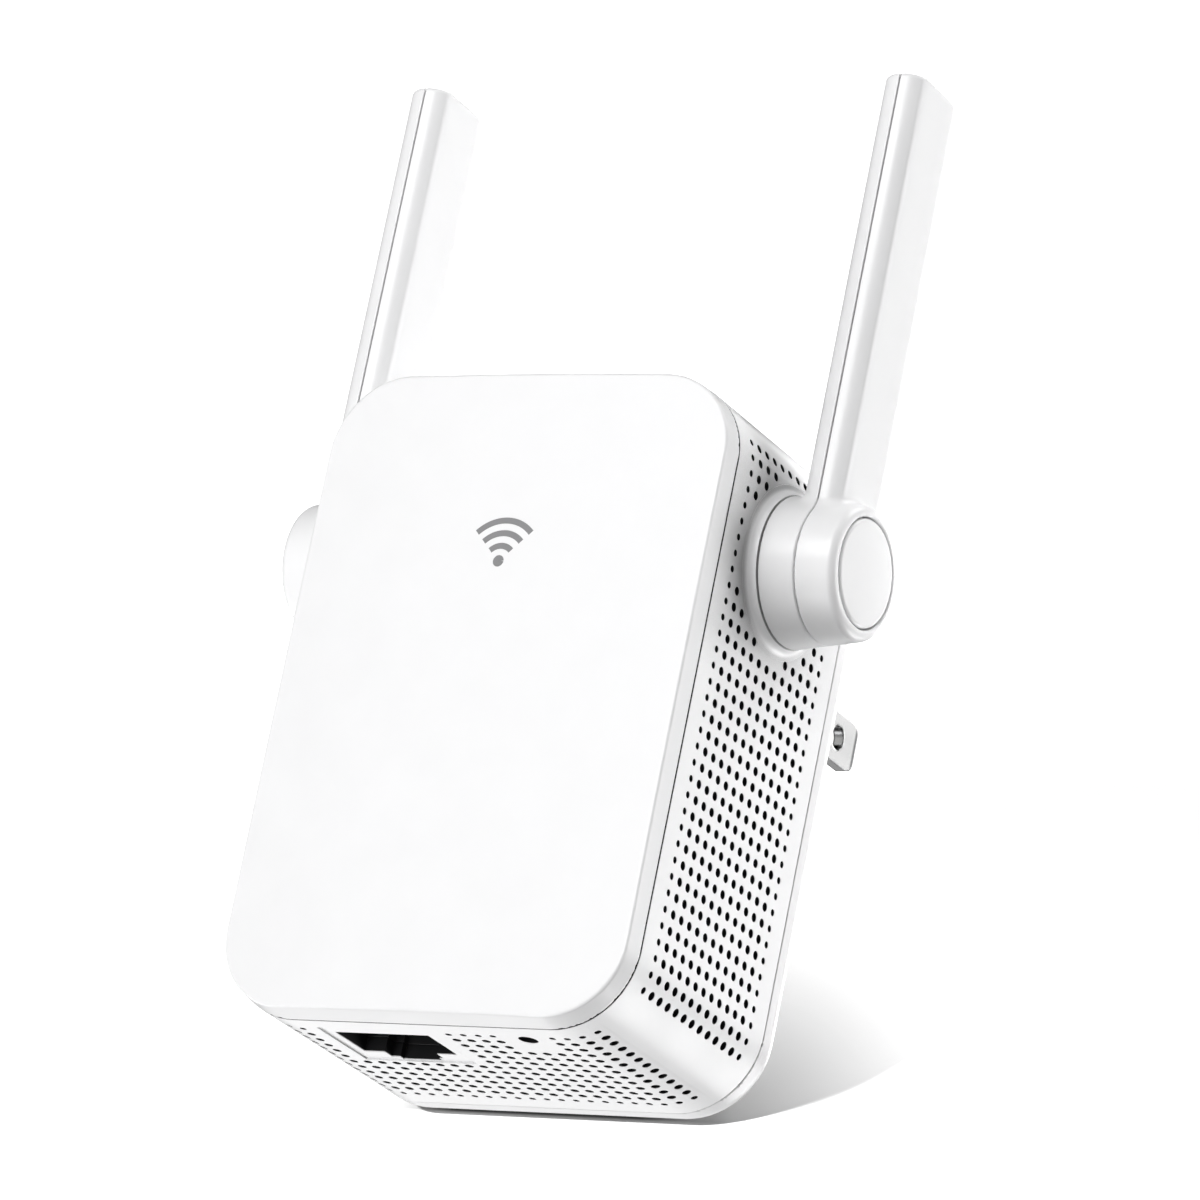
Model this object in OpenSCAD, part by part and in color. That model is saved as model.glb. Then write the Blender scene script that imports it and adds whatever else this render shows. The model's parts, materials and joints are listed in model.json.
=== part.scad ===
// Plug-in wireless range extender with two folding antennas.
// Millimetres, +Z up, the front face looks along -Y and the plug blades point along +Y.
// The origin is the centre of the plug face, where the object meets the wall, midway between
// the blades. The modules draw in the body frame: x = 0 is the middle of the width, y = 0 the
// hinge axis and z = 0 the middle of the height. place() moves that frame to the origin above.
// Right is +X; parts that come in pairs are drawn on the right and mirrored by left().

/* [Body] */
// Width of the body
body_w = 55; // [54:0.5:60]
// Height of the body
body_h = 80.2; // [80:0.2:84]
// Corner radius of the body, seen from the front
corner_r = 10; // [9:0.5:12]
// Wall thickness of the mouldings
wall = 2; // [1.8:0.1:2.2]
// Plane of the seam between the front cover and the vented housing
front_seam_y = -15.35; // [-16:0.05:-15]
// Plane of the seam between the vented housing and the rear cover
rear_seam_y = 15.45; // [15.2:0.05:16]
// Width of the line left open at a seam
seam_gap = 0.2; // [0.1:0.05:0.3]
// Foremost plane of the crowned front face, at its middle
front_crown_y = -19.4; // [-20:0.1:-19]
// Radius of the front face's crown, about a vertical axis
crown_r = 380; // [300:10:600]
// Plane of the flat back of the rear cover
rear_y = 20; // [19.5:0.1:21]
// Radius of the rounded rim of the rear cover
rear_round = 3; // [2:0.5:4]

/* [Vents] */
// Distance between vent holes, both ways
vent_pitch = 2; // [2:0.05:2.2]
// Diameter of a vent hole
vent_d = 1.1; // [0.8:0.05:1.2]
// Diameter of the foremost and rearmost vent holes
vent_edge_d = 0.85; // [0.6:0.05:0.9]
// Number of vent rows up each side
vent_rows = 35; // [31:2:35]
// Number of vent columns across the top and bottom
vent_across = 23; // [21:2:23]
// Number of holes from front to back
vent_deep = 13; // [11:2:13]

/* [Antenna hinges] */
// Height of the hinge axis over the middle of the body
hinge_z = 22.2; // [22:0.1:22.4]
// Radius of the hinge axle
axle_r = 4; // [3.8:0.05:4.2]
// Radial running clearance of the axle in its bore
axle_clear = 0.05; // [0.02:0.01:0.1]
// Distance from the middle of the body to the hub's inner face
hub_in_x = 28.8; // [28.8:0.05:29]
// Distance from the middle of the body to the hub's outer face
hub_out_x = 38.3; // [38:0.1:38.5]
// Hub radius at its inner face
hub_in_r = 9.1; // [9:0.05:9.3]
// Hub radius near its outer face
hub_out_r = 8.1; // [8:0.05:8.3]
// Radius of the round hub cap
cap_r = 6.5; // [6.3:0.1:6.6]
// Turn of the antenna, in degrees, before the slack at its end stops
fold_turn = 180; // [170:5:180]

/* [Antenna paddle] */
// Plane of the seam between the two antenna shells
paddle_x = 33.3; // [33.2:0.05:33.4]
// Thickness of the paddle
paddle_t = 5.5; // [5.4:0.1:5.8]
// Radius of the paddle's rounded long edges
paddle_edge_r = 3.1; // [3:0.05:3.2]
// Width of the paddle, front to back
paddle_w = 11.6; // [11:0.1:12]
// Height of the paddle's end over the middle of the body
paddle_top_z = 84.2; // [80:0.1:86]

/* [Plug] */
// Distance from the hinge axis back to the plug face
plug_face_y = 42.4; // [41:0.1:43]
// Height of the plug over the middle of the body
plug_z = 21.4; // [21:0.1:22]
// Distance between the centres of the two blades
blade_pitch = 12.7; // [12.6:0.05:12.8]
// Thickness of a blade
blade_t = 1.5; // [1.4:0.05:1.6]
// Width of a blade
blade_w = 6.35; // [6.2:0.05:6.4]
// Length of a blade outside the plug face
blade_len = 16.8; // [15.9:0.1:18.2]
// Distance from the plug face to the hole in a blade
blade_hole_y = 11.9; // [11.7:0.05:12.1]
// Diameter of the hole in a blade
blade_hole_d = 3.1; // [3:0.05:3.2]

/* [Network socket] */
// Middle of the socket, along the width
jack_x = -8; // [-8.3:0.1:-7.9]
// Width of the socket's mouth
jack_w = 12.8; // [12:0.1:12.8]
// Front edge of the mouth
jack_y0 = -10.7; // [-10.8:0.05:-10.7]
// Rear edge of the mouth
jack_y1 = -3.6; // [-3.8:0.1:-3.5]
// Width of the latch notch
latch_w = 7.2; // [6.6:0.1:7.4]

/* [Buttons] */
// Diameter of the reset hole
reset_hole_d = 2.4; // [2:0.1:2.4]
// Radius of the pairing button
button_r = 3.7; // [3.5:0.1:3.9]

/* [Hidden] */
$fn = 48;
hair = 0.01;                                // least gap or overlap between faces
half_w = body_w / 2;
half_h = body_h / 2;

// Rounded rectangles are given as [width, height, corner radius].
body_size = [body_w, body_h, corner_r];
main_board_size = [46.5, 72, 4];
power_board_size = [46, 66, 3];
insert_size = [18, 22, 3];

// Seams: each cover has a tongue that slips into the housing.
tongue_inset = wall + 0.1;
tongue_len = 1.9;
cavity_inset = tongue_inset + 0.8;
front_y = front_seam_y - seam_gap / 2;      // rear edge of the front cover's rim
back_y = rear_seam_y + seam_gap / 2;        // front edge of the rear cover's rim

// Front and rear planes of the two boards, and their screws
main_y0 = -14;
main_y1 = -12.8;
power_y0 = 12.6;
power_y1 = 14.2;
board_screw_x = 19.5;
main_screw_z = [-31, 31];
power_screw_z = [-29, 8];
board_hole_r = 1.1;
pilot_r = 0.75;

// Parts that show through the bottom and the left wall
reset_x = 12.3;
reset_y = -11.15;
button_y = -6;
button_z = -20;
led_y = -9;
led_z = [-6, -2, 2, 6];
led_pin_r = 0.75;
left_part_x = -half_w + wall + 0.2;         // outer face of the parts behind the left wall

// Hinge, on the right side
pedestal_x = hub_in_x - 0.15;               // outer face of the hinge pedestal
boss_x = 24.3;                              // inner end of the hinge bore
lug_in_r = 6.1;                             // stop lug on the hub
lug_w = 1.1;
lug_x = pedestal_x - 0.9;
lug_turn = 14;
lug_clear = 0.2;
lug_slack = 2;                              // degrees, at each end of the groove
cable_r = 0.55;

// ---- Helpers
function span(middle, width) = [middle - width / 2, middle + width / 2];
function grow(range, by) = [range[0] - by, range[1] + by];

module place() translate([0, -plug_face_y, -plug_z]) children();
module left() mirror([1, 0, 0]) children();
// Draws a flat shape in x and z, from y0 to y1.
module yext(y0, y1) translate([0, y1, 0]) rotate([90, 0, 0]) linear_extrude(y1 - y0) children();
// Lays the children's z axis on the hinge axis, pointing along +x.
module about_hinge() translate([0, 0, hinge_z]) rotate([0, 90, 0]) children();
module rod_x(radius, x0, x1) translate([x0, 0, 0]) rotate([0, 90, 0]) cylinder(r = radius, h = x1 - x0);
module rod_y(radius, y0, y1) translate([0, y0, 0]) rotate([-90, 0, 0]) cylinder(r = radius, h = y1 - y0);
module hinge_rod(radius, x0, x1) translate([0, 0, hinge_z]) rod_x(radius, x0, x1);
// A block from its [start, end] along each axis.
module box(x, y, z) translate([x[0], y[0], z[0]]) cube([x[1] - x[0], y[1] - y[0], z[1] - z[0]]);
// Rounded rectangle with true corner arcs, drawn inset from its given size.
module rrect(size, inset = 0) {
  width = size[0] - 2 * inset;
  height = size[1] - 2 * inset;
  radius = size[2] - inset;
  square([width - 2 * radius, height], center = true);
  square([width, height - 2 * radius], center = true);
  for (x = [-1, 1], y = [-1, 1])
    translate([x * (width / 2 - radius), y * (height / 2 - radius)]) circle(radius);
}
// A round wire through a list of points, with a ball at each bend.
module wire(path, radius) {
  for (i = [0 : len(path) - 2]) {
    step = path[i + 1] - path[i];
    length = norm(step);
    translate(path[i]) rotate([0, acos(step[2] / length), atan2(step[1], step[0])])
      cylinder(r = radius, h = length);
  }
  if (len(path) > 2) for (i = [1 : len(path) - 2]) translate(path[i]) sphere(radius * 1.04);
}
module at_board_screws(heights) for (x = [-1, 1], z = heights)
  translate([x * board_screw_x, 0, z]) children();
// A block on the rear face of the main board, or on the front face of the power board.
module main_part(x, z, height) box(x, [main_y1 + hair, main_y1 + height], z);
module power_part(x, z, height) box(x, [power_y0 - height, power_y0 - hair], z);

// ---- Vent pattern
// A hole's place is its distance along the outline; past the straight part it follows the corner.
hinge_keep_out = 10.93;
button_keep_out = 6.2;
top_cut = 3;                                // outer rows and columns left off the top
function corner_turn(s, flat) = abs(s) > flat ? sign(s) * (abs(s) - flat) / corner_r * 180 / PI : 0;
function along(s, flat, turn) = abs(s) > flat ? sign(s) * flat + corner_r * sin(turn) : s;
function outward(half, turn) = half - corner_r + corner_r * cos(turn);
function vent_s(i, count) = (i - (count - 1) / 2) * vent_pitch;
function near_hinge(y, z) = norm([y, z - hinge_z]) < hinge_keep_out;
function near_button(y, z) = norm([y - button_y, z - button_z]) < button_keep_out;
function near_leds(y, z) = abs(y - led_y) < 2.5 && z > led_z[0] - 3 && z < led_z[3] + 3;
function near_jack(x, y) = x > jack_x - 8.6 && x < jack_x + 8.4 && y < -0.9;
function near_reset(x, y) = abs(x - reset_x) < 3 && y < -6.9;
module vent_hole(i) cylinder(r = (i == 0 || i == vent_deep - 1 ? vent_edge_d : vent_d) / 2,
  h = 2.5 * wall, center = true, $fn = 16);
module side_vents(on_left) {
  flat = half_h - corner_r;
  for (j = [0 : vent_rows - 1], i = [0 : vent_deep - 1]) {
    s = vent_s(j, vent_rows);
    y = vent_s(i, vent_deep);
    skip = near_hinge(y, s) || (on_left && (near_button(y, s) || near_leds(y, s)));
    if (!skip) {
      turn = corner_turn(s, flat);
      translate([outward(half_w, turn), y, along(s, flat, turn)]) rotate([0, 90 - turn, 0]) vent_hole(i);
    }
  }
}
// The top has a smaller field of vents than the bottom.
module end_vents(bottom) {
  flat = half_w - corner_r;
  cut = bottom ? 0 : top_cut;
  for (k = [cut : vent_across - 1 - cut], i = [cut : vent_deep - 1 - cut]) {
    s = vent_s(k, vent_across);
    y = vent_s(i, vent_deep);
    skip = bottom && (near_jack(s, y) || near_reset(s, y));
    if (!skip) {
      turn = corner_turn(s, flat);
      z = outward(half_h, turn);
      translate([along(s, flat, turn), y, bottom ? -z : z])
        rotate([0, bottom ? 180 - turn : turn, 0]) vent_hole(i);
    }
  }
}

// ---- Front cover
module crown(inset) translate([0, front_crown_y + crown_r, 0])
  cylinder(r = crown_r - inset, h = 2 * body_h, center = true, $fn = 240);
module front_cover() color("white") difference() {
  union() {
    intersection() {
      yext(-30, front_y) rrect(body_size);
      crown(0);
    }
    yext(front_y - hair, front_y + tongue_len) rrect(body_size, tongue_inset);
  }
  difference() {
    intersection() {
      yext(-30, 0) rrect(body_size, cavity_inset);
      crown(wall);
    }
    // posts that carry the main board
    at_board_screws(main_screw_z) rod_y(2.4, -20, main_y0);
  }
  at_board_screws(main_screw_z) rod_y(pilot_r, -17, 0);
}

// ---- Vented housing
pedestal_r = 9.2;
flare_r = 1.25;
// The foot of the pedestal flares into the side wall along a concave arc.
module pedestal() about_hinge() rotate_extrude() difference() {
  translate([0, 26]) square([pedestal_r + flare_r, pedestal_x - 26]);
  translate([pedestal_r + flare_r, half_w + 1.28]) circle(flare_r);
}
module hinge_boss() hinge_rod(6.6, boss_x, 27);
// The groove that the hub's stop lug runs in.
module stop_groove() about_hinge() rotate([0, 0, 90 - lug_turn / 2 - lug_slack])
  rotate_extrude(angle = fold_turn + lug_turn + 2 * lug_slack)
    translate([lug_in_r - lug_clear, lug_x - lug_clear]) square([lug_w + 2 * lug_clear, 2]);

// The network socket's opening, shared by the housing and the jack behind it.
module jack_mouth(inset, z)
  box(grow(span(jack_x, jack_w), -inset), grow([jack_y0, jack_y1], -inset), z);
// The latch notch has a narrower step at its rear.
module latch_notch(inset, z) {
  start_y = jack_y1 - 1;
  box(grow(span(jack_x, latch_w), -inset), [start_y, -1.95 - inset], z);
  box(grow([jack_x - latch_w / 2 + 1.2, jack_x + latch_w / 2 - 0.6], -inset), [start_y, -1.15 - inset], z);
}

module vent_housing() color("white") difference() {
  frame_depth = 0.2;                        // depth of the network socket's frame
  floor_z = [-half_h - 1, -half_h + wall + 1];
  union() {
    yext(front_seam_y + seam_gap / 2, rear_seam_y - seam_gap / 2) difference() {
      rrect(body_size);
      rrect(body_size, wall);
    }
    pedestal();
    left() pedestal();
    hinge_boss();
    left() hinge_boss();
  }
  for (side = [-1, 1]) scale([side, 1, 1]) {
    hinge_rod(axle_r + axle_clear, 20, 40);
    stop_groove();
  }
  side_vents(false);
  left() side_vents(true);
  end_vents(false);
  end_vents(true);
  box(span(jack_x, 15.3), [-12.8, -1], [-half_h - 1, -half_h + frame_depth]);
  jack_mouth(0, floor_z);
  latch_notch(0, floor_z);
  translate([reset_x, reset_y, floor_z[0]]) cylinder(r = reset_hole_d / 2, h = wall + 2);
  at_button() rod_x(button_r + 0.15, -half_w - 1, -half_w + wall + 1);
  for (z = led_z) translate([0, led_y, z]) rod_x(led_pin_r + 0.05, -half_w - 1, -half_w + wall + 1);
}

// ---- Rear cover
pod_base = [33, 31.5, 8];
pod_end = [24.4, 29, 5.5];
pod_bevel = 1.2;
rear_wall = 1.8;
module rear_shell() hull() {
  yext(back_y, rear_y - rear_round) rrect(body_size);
  for (a = [30, 60, 90])
    yext(back_y, rear_y - rear_round + rear_round * sin(a)) rrect(body_size, rear_round * (1 - cos(a)));
}
// The tapered pod that carries the plug.
module pod(inset, y1) translate([0, 0, plug_z]) hull() {
  yext(rear_y - 2, rear_y - 1) rrect(pod_base, inset);
  yext(rear_y + 1, y1 - 1.5) rrect(pod_end, inset);
  yext(rear_y + 1, y1) rrect(pod_end, inset + pod_bevel);
}
module rear_cover() color("white") difference() {
  union() {
    rear_shell();
    pod(0, plug_face_y - 0.3);
    yext(back_y - tongue_len, back_y + hair) rrect(body_size, tongue_inset);
  }
  difference() {
    union() {
      yext(0, rear_y - rear_wall) rrect(body_size, cavity_inset + 1.2);
      pod(rear_wall, plug_face_y - 2.3);
    }
    // posts that carry the power board
    at_board_screws(power_screw_z) rod_y(2.3, power_y1, rear_y);
  }
  yext(0, back_y + 1.4) rrect(body_size, cavity_inset);
  at_board_screws(power_screw_z) rod_y(pilot_r, 0, rear_y - 1);
  translate([0, 0, plug_z]) yext(30, 60) rrect(insert_size, -0.05);
}

// ---- Plug
blade_tip_r = 1.6;
shank_len = 8;                              // full-width part of a blade inside the plug face
tail_len = 15;                              // from the plug face to the end of the solder tail
module plug_insert() color("whitesmoke") difference() {
  translate([0, 0, plug_z]) union() {
    yext(plug_face_y - 5, plug_face_y) rrect(insert_size);
    yext(plug_face_y - 6.5, plug_face_y - 4.9) rrect(insert_size);
  }
  for (side = [-1, 1])
    box(span(side * blade_pitch / 2, blade_t + 2 * hair), [0, 80], span(plug_z, blade_w + 2 * hair));
}
// Outline of a blade in y and z: rounded tip, a hole, and a narrower solder tail.
module blade_outline() {
  tip = plug_face_y + blade_len;
  difference() {
    union() {
      translate([plug_face_y - shank_len, -blade_w / 2])
        square([blade_len + shank_len - blade_tip_r, blade_w]);
      translate([tip - 2, -blade_w / 2 + blade_tip_r]) square([2, blade_w - 2 * blade_tip_r]);
      for (side = [-1, 1])
        translate([tip - blade_tip_r, side * (blade_w / 2 - blade_tip_r)]) circle(blade_tip_r);
      translate([plug_face_y - tail_len, -1.5]) square([8, 3]);
    }
    translate([plug_face_y + blade_hole_y, 0]) circle(blade_hole_d / 2);
  }
}
// The outline is drawn with its x along the object's y, so turn it upright.
module blade() color("silver") translate([blade_pitch / 2 - blade_t / 2, 0, plug_z])
  rotate([90, 0, 90]) linear_extrude(blade_t) blade_outline();
module ac_lead() wire([
  [blade_pitch / 2, plug_face_y - tail_len - 0.1, plug_z],
  [blade_pitch / 2, 22, plug_z],
  [9.5, 17.5, plug_z - 4],
  [9.5, power_y1 + hair, plug_z - 4]], 0.85);
module ac_leads() {
  color("black") ac_lead();
  color("white") left() ac_lead();
}

// ---- Power supply
core_window = [[-7.2, 7.2], [-5.8, 5.8]];   // opening of the core in x and z
link_z = -25.5;
link_pin_r = 0.35;
module power_board() color("tan") difference() {
  yext(power_y0, power_y1) rrect(power_board_size);
  at_board_screws(power_screw_z) rod_y(board_hole_r, 0, 30);
}
module transformer_core() color("dimgray") difference() {
  box([-10, 10], [-1.4, 12.5], [-9, 9]);
  box(core_window[0], [-2, 13], core_window[1]);
}
module transformer_winding() color("gold")
  box(grow(core_window[0], -0.1), [-0.9, power_y0 - hair], grow(core_window[1], -0.1));
// Turns a profile of [radius, height over the power board's front face].
module power_turning(x, z) translate([x, 0, z]) rotate([90, 0, 0])
  translate([0, 0, -power_y0 + hair]) rotate_extrude() children();
// An electrolytic can with a crimp groove near its foot and a bevelled top.
module capacitor(x, z, radius, height) power_turning(x, z) polygon([
  [0, 0], [radius, 0], [radius, 1.2], [radius - 0.4, 1.6], [radius, 2],
  [radius, height - 0.4], [radius - 0.4, height], [0, height]]);
module primary_capacitors() color("midnightblue") for (z = [-7.5, -17.5]) capacitor(16.3, z, 4, 13.4);
module output_capacitors() color("darkgreen") {
  capacitor(-16.5, -3, 4, 11.8);
  capacitor(-16.5, -12.5, 3.15, 11);
}
module safety_capacitor() color("royalblue") translate([0, 9.4, 17]) rod_x(3.1, -14, -10.8);
module line_fuse() color("saddlebrown") translate([-9, 0, 28]) rod_y(2.1, power_y0 - 7, power_y0 - hair);
module filter_choke() color("darkorange") power_turning(2, 26)
  polygon([[0, 0], [4, 0], [4, 1.2], [3, 1.6], [3, 7.4], [4, 7.8], [4, 9], [0, 9]]);
module bridge_rectifier() color("black") power_part([9, 14], [25.5, 29.5], 2.6);
module power_controller_chip() color("black") power_part([9.5, 14.5], [13, 17], 1.7);
module at_link_pins() for (i = [0 : 3]) translate([12.9 + 2.1 * i, 0, link_z]) children();
module board_link_header() {
  color("black") difference() {
    power_part([12, 20.4], span(link_z, 2.6), 8.5);
    at_link_pins() rod_y(link_pin_r + hair, -20, 20);
  }
  color("gold") at_link_pins() rod_y(link_pin_r, main_y1 + hair, power_y0 - hair);
}
// A cross-slotted screw; the head points along -y for turn = 1 and along +y for turn = -1.
module pan_screw(seat_y, turn, length) translate([0, seat_y, 0]) rotate([turn * 90, 0, 0]) difference() {
  union() {
    cylinder(r = 1.6, h = 1.2);
    translate([0, 0, -length]) cylinder(r = 0.74, h = length + hair);
  }
  translate([0, 0, 0.7]) cube([2.2, 0.4, 2], center = true);
  translate([0, 0, 0.7]) cube([0.4, 2.2, 2], center = true);
}
module power_board_screws() color("silver")
  at_board_screws(power_screw_z) pan_screw(power_y0 - hair, 1, 5);
module insulator_sheet() color("lightyellow", 0.6) box([-12, 17.5], [-3.2, -2.9], [-14, 12]);

// ---- Main board
processor_x = [1, 13];
processor_z = [-6, 6];
processor_top = 1.2;                        // heights over the board's rear face
pad_top = 1.7;
heatsink_over = 4;                          // how far the heatsink reaches past the processor
shield_t = 0.3;
module main_board() color("green") difference() {
  yext(main_y0, main_y1) rrect(main_board_size);
  at_board_screws(main_screw_z) rod_y(board_hole_r, -30, 0);
}
module main_board_screws() color("silver")
  at_board_screws(main_screw_z) pan_screw(main_y1 + hair, -1, 3.5);
module processor_chip() color("black") main_part(processor_x, processor_z, processor_top);
module thermal_pad() color("lightblue")
  box(processor_x, [main_y1 + processor_top + hair, main_y1 + pad_top], processor_z);
// A base plate with upright fins.
module heatsink() color("silver") difference() {
  sink_x = grow(processor_x, heatsink_over);
  sink_z = grow(processor_z, heatsink_over);
  fin_pitch = 2.6;
  box(sink_x, [main_y1 + pad_top + hair, -4.6], sink_z);
  for (i = [0 : 6]) {
    slot_x = sink_x[0] + 1.3 + i * fin_pitch;
    box([slot_x, slot_x + 1.5], [main_y1 + 3.2, 0], grow(sink_z, 1));
  }
}
module radio_shields() color("silver") for (x = [-15.5, 3]) difference() {
  can_x = [x, x + 12.5];
  can_z = [14, 27];
  main_part(can_x, can_z, 2.6);
  box(grow(can_x, -shield_t), [main_y1 - 1, main_y1 + 2.6 - shield_t], grow(can_z, -shield_t));
}
module memory_chip() color("black") main_part([-13, -7], [3, 8], 1.4);
module lan_transformer() color("black") main_part([-16, -3.8], [-15, -8], 4);
module ethernet_jack() color([0.08, 0.08, 0.09]) difference() {
  box(span(jack_x, 15.8), [main_y1 + hair, 0.4], [-half_h + wall + 0.05, -17.5]);
  jack_mouth(0.1, [-50, -24]);
  latch_notch(0.1, [-50, -29]);
}
module jack_contacts() color("gold") for (i = [-3.5 : 3.5]) {
  x = jack_x + i * 1.02;
  wire([[x, -9.95, -24.1], [x, -9.95, -27.5], [x, -10.3, -36.6]], 0.2);
}

// ---- Lamps and buttons
led_w = 1.6;
guide_w = 1.8;
guide_leg_x = -21.2;                        // inner face of the light guide's legs
stem_x = -23.2;                             // inner end of the pairing button's stem
module at_button() translate([0, button_y, button_z]) children();
module status_leds() color("white") for (z = led_z) main_part([-22.6, -21.4], span(z, led_w), 0.8);
// A clear bar with a leg over each lamp and a pin through the wall.
module light_guide() color("lightcyan", 0.5) {
  box([left_part_x, left_part_x + 1.6], span(led_y, guide_w), [led_z[0] - 1.6, led_z[3] + 1.6]);
  for (z = led_z) {
    translate([0, led_y, z]) rod_x(led_pin_r, -half_w, left_part_x + 0.1);
    box([-23.8, guide_leg_x], span(led_y, guide_w), span(z, led_w));
    box([-22.8, guide_leg_x], [main_y1 + 0.9, led_y], span(z, led_w));
  }
}
// A round head, a wider flange behind the wall and a stem.
module pair_button() color("white") at_button() {
  rod_x(button_r, -half_w - 0.5, left_part_x + 0.1);
  rod_x(button_r + 0.9, left_part_x, left_part_x + 0.8);
  rod_x(1.3, left_part_x + 0.7, stem_x);
}
module pair_switch_body() color("dimgray") difference() {
  box([-22.2, -18.8], [main_y1 + hair, button_y + 2.6], span(button_z, 6));
  at_button() rod_x(1.1, -23, -21);
}
module pair_switch_plunger() color("ivory") at_button() rod_x(1, stem_x + 0.02, -21.4);
module reset_switch_body() color("dimgray") difference() {
  box(span(reset_x, 4.6), [main_y1 + hair, reset_y + 1.6], [-36.6, -33.4]);
  translate([reset_x, reset_y, -37]) cylinder(r = 0.95, h = 1.8);
}
module reset_switch_plunger() color("dimgray")
  translate([reset_x, reset_y, -38.3]) cylinder(r = 0.85, h = 2.7);

// ---- Aerial cables in the body
coax_x = 19;
coax_z = 10;
module coax_connectors() color("gold") for (side = [-1, 1]) difference() {
  translate([side * coax_x, 0, coax_z]) rod_y(1.3, main_y1 + hair, main_y1 + 1.4);
  translate([side * coax_x, 0, coax_z]) rod_y(0.8, main_y1 + 0.4, 0);
}
module coax_body() color([0.15, 0.15, 0.16]) wire([
  [coax_x, main_y1 + 0.5, coax_z], [coax_x, -7, coax_z], [20, -0.6, 20],
  [22.6, 0, hinge_z], [30.3, 0, hinge_z]], cable_r);

// ---- Antenna, drawn for the right side
half_gap = 0.08;                            // from the shell seam to each shell
inner_seam_x = paddle_x - half_gap;
outer_seam_x = paddle_x + half_gap;
hub_taper = (hub_out_r - hub_in_r) / (37.3 - hub_in_x);
nose_x = 37.2;
nose_round = 1;
hub_wall = 1.5;
paddle_wall = 1.1;
cap_seat_x = 37.1;
cap_top_x = 38.6;
cap_dome_r = 90;
clip_groove_x = 23.1;
clip_groove_r = 3.5;
function hub_r(x) = hub_in_r + hub_taper * (x - hub_in_x);
module hub_cone(x0, x1, inset = 0) about_hinge() rotate_extrude()
  polygon([[0, x0], [hub_r(x0) - inset, x0], [hub_r(x1) - inset, x1], [0, x1]]);
// The outer end of the hub, with a rounded rim.
module hub_nose() about_hinge() rotate_extrude() intersection() {
  union() {
    translate([0, nose_x]) square([hub_out_r - nose_round, hub_out_x - nose_x]);
    translate([0, nose_x]) square([hub_out_r, hub_out_x - nose_round - nose_x]);
    translate([hub_out_r - nose_round, hub_out_x - nose_round]) circle(nose_round);
  }
  translate([0, nose_x]) square([20, 5]);
}
// Cross-section of the paddle in x and y: flat sides and round edges that meet them at a crease.
module paddle_section(inset) {
  thick = paddle_t - 2 * inset;
  edge_y = paddle_w / 2 - paddle_edge_r;
  radius = paddle_edge_r - inset;
  crease_y = edge_y + sqrt(radius * radius - thick * thick / 4);
  translate([paddle_x, 0]) {
    square([thick, 2 * crease_y], center = true);
    for (side = [-1, 1]) intersection() {
      translate([0, side * edge_y]) circle(radius);
      square([thick, 2 * paddle_w], center = true);
    }
  }
}
module paddle(inset, z0, z1) translate([0, 0, z0]) linear_extrude(z1 - z0) paddle_section(inset);
module inner_half() box([20, inner_seam_x], [-20, 20], [0, 100]);
module outer_half() box([outer_seam_x, 60], [-20, 20], [0, 100]);
module stop_lug() about_hinge() rotate([0, 0, 90 - lug_turn / 2]) rotate_extrude(angle = lug_turn)
  translate([lug_in_r, lug_x]) square([lug_w, 1.3]);
// The way from the hub into the paddle, for the cable.
module paddle_slot() box([31.7, paddle_x + 1.5], [-3, 3], [hinge_z, hinge_z + 12]);
module at_hub_screw() translate([0, 0, hinge_z - 5.2]) children();
// The hollow of a shell around its screw boss; hub and boss are [start, end] in x and the
// child is the half space of the shell.
module shell_hollow(hub, boss) difference() {
  union() {
    hub_cone(hub[0], hub[1], hub_wall);
    intersection() {
      paddle(paddle_wall, hinge_z, paddle_top_z - 1.3);
      children();
    }
    paddle_slot();
  }
  at_hub_screw() rod_x(1.6, boss[0], boss[1]);
}

module inner_shell() color("white") difference() {
  union() {
    hub_cone(hub_in_x, inner_seam_x);
    intersection() {
      paddle(0, hinge_z, paddle_top_z);
      inner_half();
    }
    hinge_rod(axle_r, 22.2, 30.2);
    stop_lug();
  }
  shell_hollow([30.3, 40], [30, inner_seam_x]) inner_half();
  hinge_rod(2.6, 10, 50);
  // groove for the retaining clip
  about_hinge() translate([0, 0, clip_groove_x]) difference() {
    cylinder(r = 6, h = 0.7);
    cylinder(r = clip_groove_r, h = 0.7);
  }
  at_hub_screw() rod_x(0.6, 31, 40);
}
module outer_shell() color("white") difference() {
  union() {
    hub_cone(outer_seam_x, 37.25);
    hub_nose();
    intersection() {
      paddle(0, hinge_z, paddle_top_z);
      outer_half();
    }
  }
  shell_hollow([30, 36.2], [outer_seam_x, 40]) outer_half();
  hinge_rod(cap_r + 0.18, cap_seat_x, 42.1);
  hinge_rod(2.9, 34, 39);
  at_hub_screw() rod_x(0.65, 30, 40);
  at_hub_screw() rod_x(1, 35.9, 40);
}
// A slightly domed disc on a hollow stub.
module hub_cap() color("white") {
  intersection() {
    hinge_rod(cap_r, cap_seat_x + hair, 38.71);
    translate([cap_top_x - cap_dome_r, 0, hinge_z]) sphere(cap_dome_r, $fn = 240);
  }
  difference() {
    hinge_rod(2.85, 35.2, 37.2);
    hinge_rod(2, 35.2, 37.1);
  }
}
module antenna_element() color("darkgreen") box(span(paddle_x, 0.6), [-3.3, 3.3], [35, 81]);
module feed_cable() color([0.15, 0.15, 0.16])
  wire([[30.35, 0, hinge_z], [32.32, 0, hinge_z], [32.32, 0, 38]], cable_r);
module hub_screw() color("silver") at_hub_screw() difference() {
  union() {
    rod_x(0.58, 31.2, 36);
    rod_x(0.95, 35.91, 36.9);
  }
  rod_x(0.35, 36.4, 38);
}
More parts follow.
